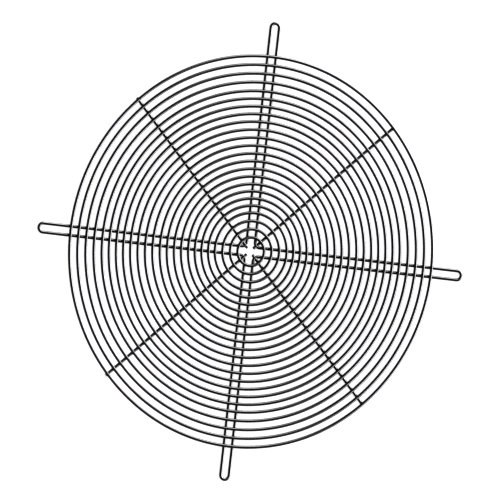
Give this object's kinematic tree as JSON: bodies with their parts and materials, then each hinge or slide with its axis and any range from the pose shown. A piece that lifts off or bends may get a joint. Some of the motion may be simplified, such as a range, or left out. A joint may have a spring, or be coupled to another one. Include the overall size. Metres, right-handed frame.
{
  "type": "wire fan guard",
  "caption": "Flat round fan guard: concentric wire rings welded to a double-wire cross with slotted ears and to single spokes between its arms.",
  "frame": {"origin": "the guard's centre, in the plane that its back lies on", "axes": "+Z to the ring side, which faces away from the fan; +X and +Y along two neighbouring arms"},
  "size_m": [0.4774, 0.4774, 0.0055],
  "materials": {
    "plated_wire": "bright plated steel wire"
  },
  "bodies": {
    "root": {"cross_wire": "plated_wire", "spoke_1": "plated_wire", "spoke_2": "plated_wire", "spoke_3": "plated_wire", "spoke_4": "plated_wire", "ring_01": "plated_wire", "ring_02": "plated_wire", "ring_03": "plated_wire", "ring_04": "plated_wire", "ring_05": "plated_wire", "ring_06": "plated_wire", "ring_07": "plated_wire", "ring_08": "plated_wire", "ring_09": "plated_wire", "ring_10": "plated_wire", "ring_11": "plated_wire", "ring_12": "plated_wire", "ring_13": "plated_wire", "ring_14": "plated_wire", "ring_15": "plated_wire", "ring_16": "plated_wire", "ring_17": "plated_wire", "ring_18": "plated_wire", "ring_19": "plated_wire", "ring_20": "plated_wire", "ring_21": "plated_wire", "ring_22": "plated_wire", "ring_23": "plated_wire", "ring_24": "plated_wire"}
  },
  "joints": []
}
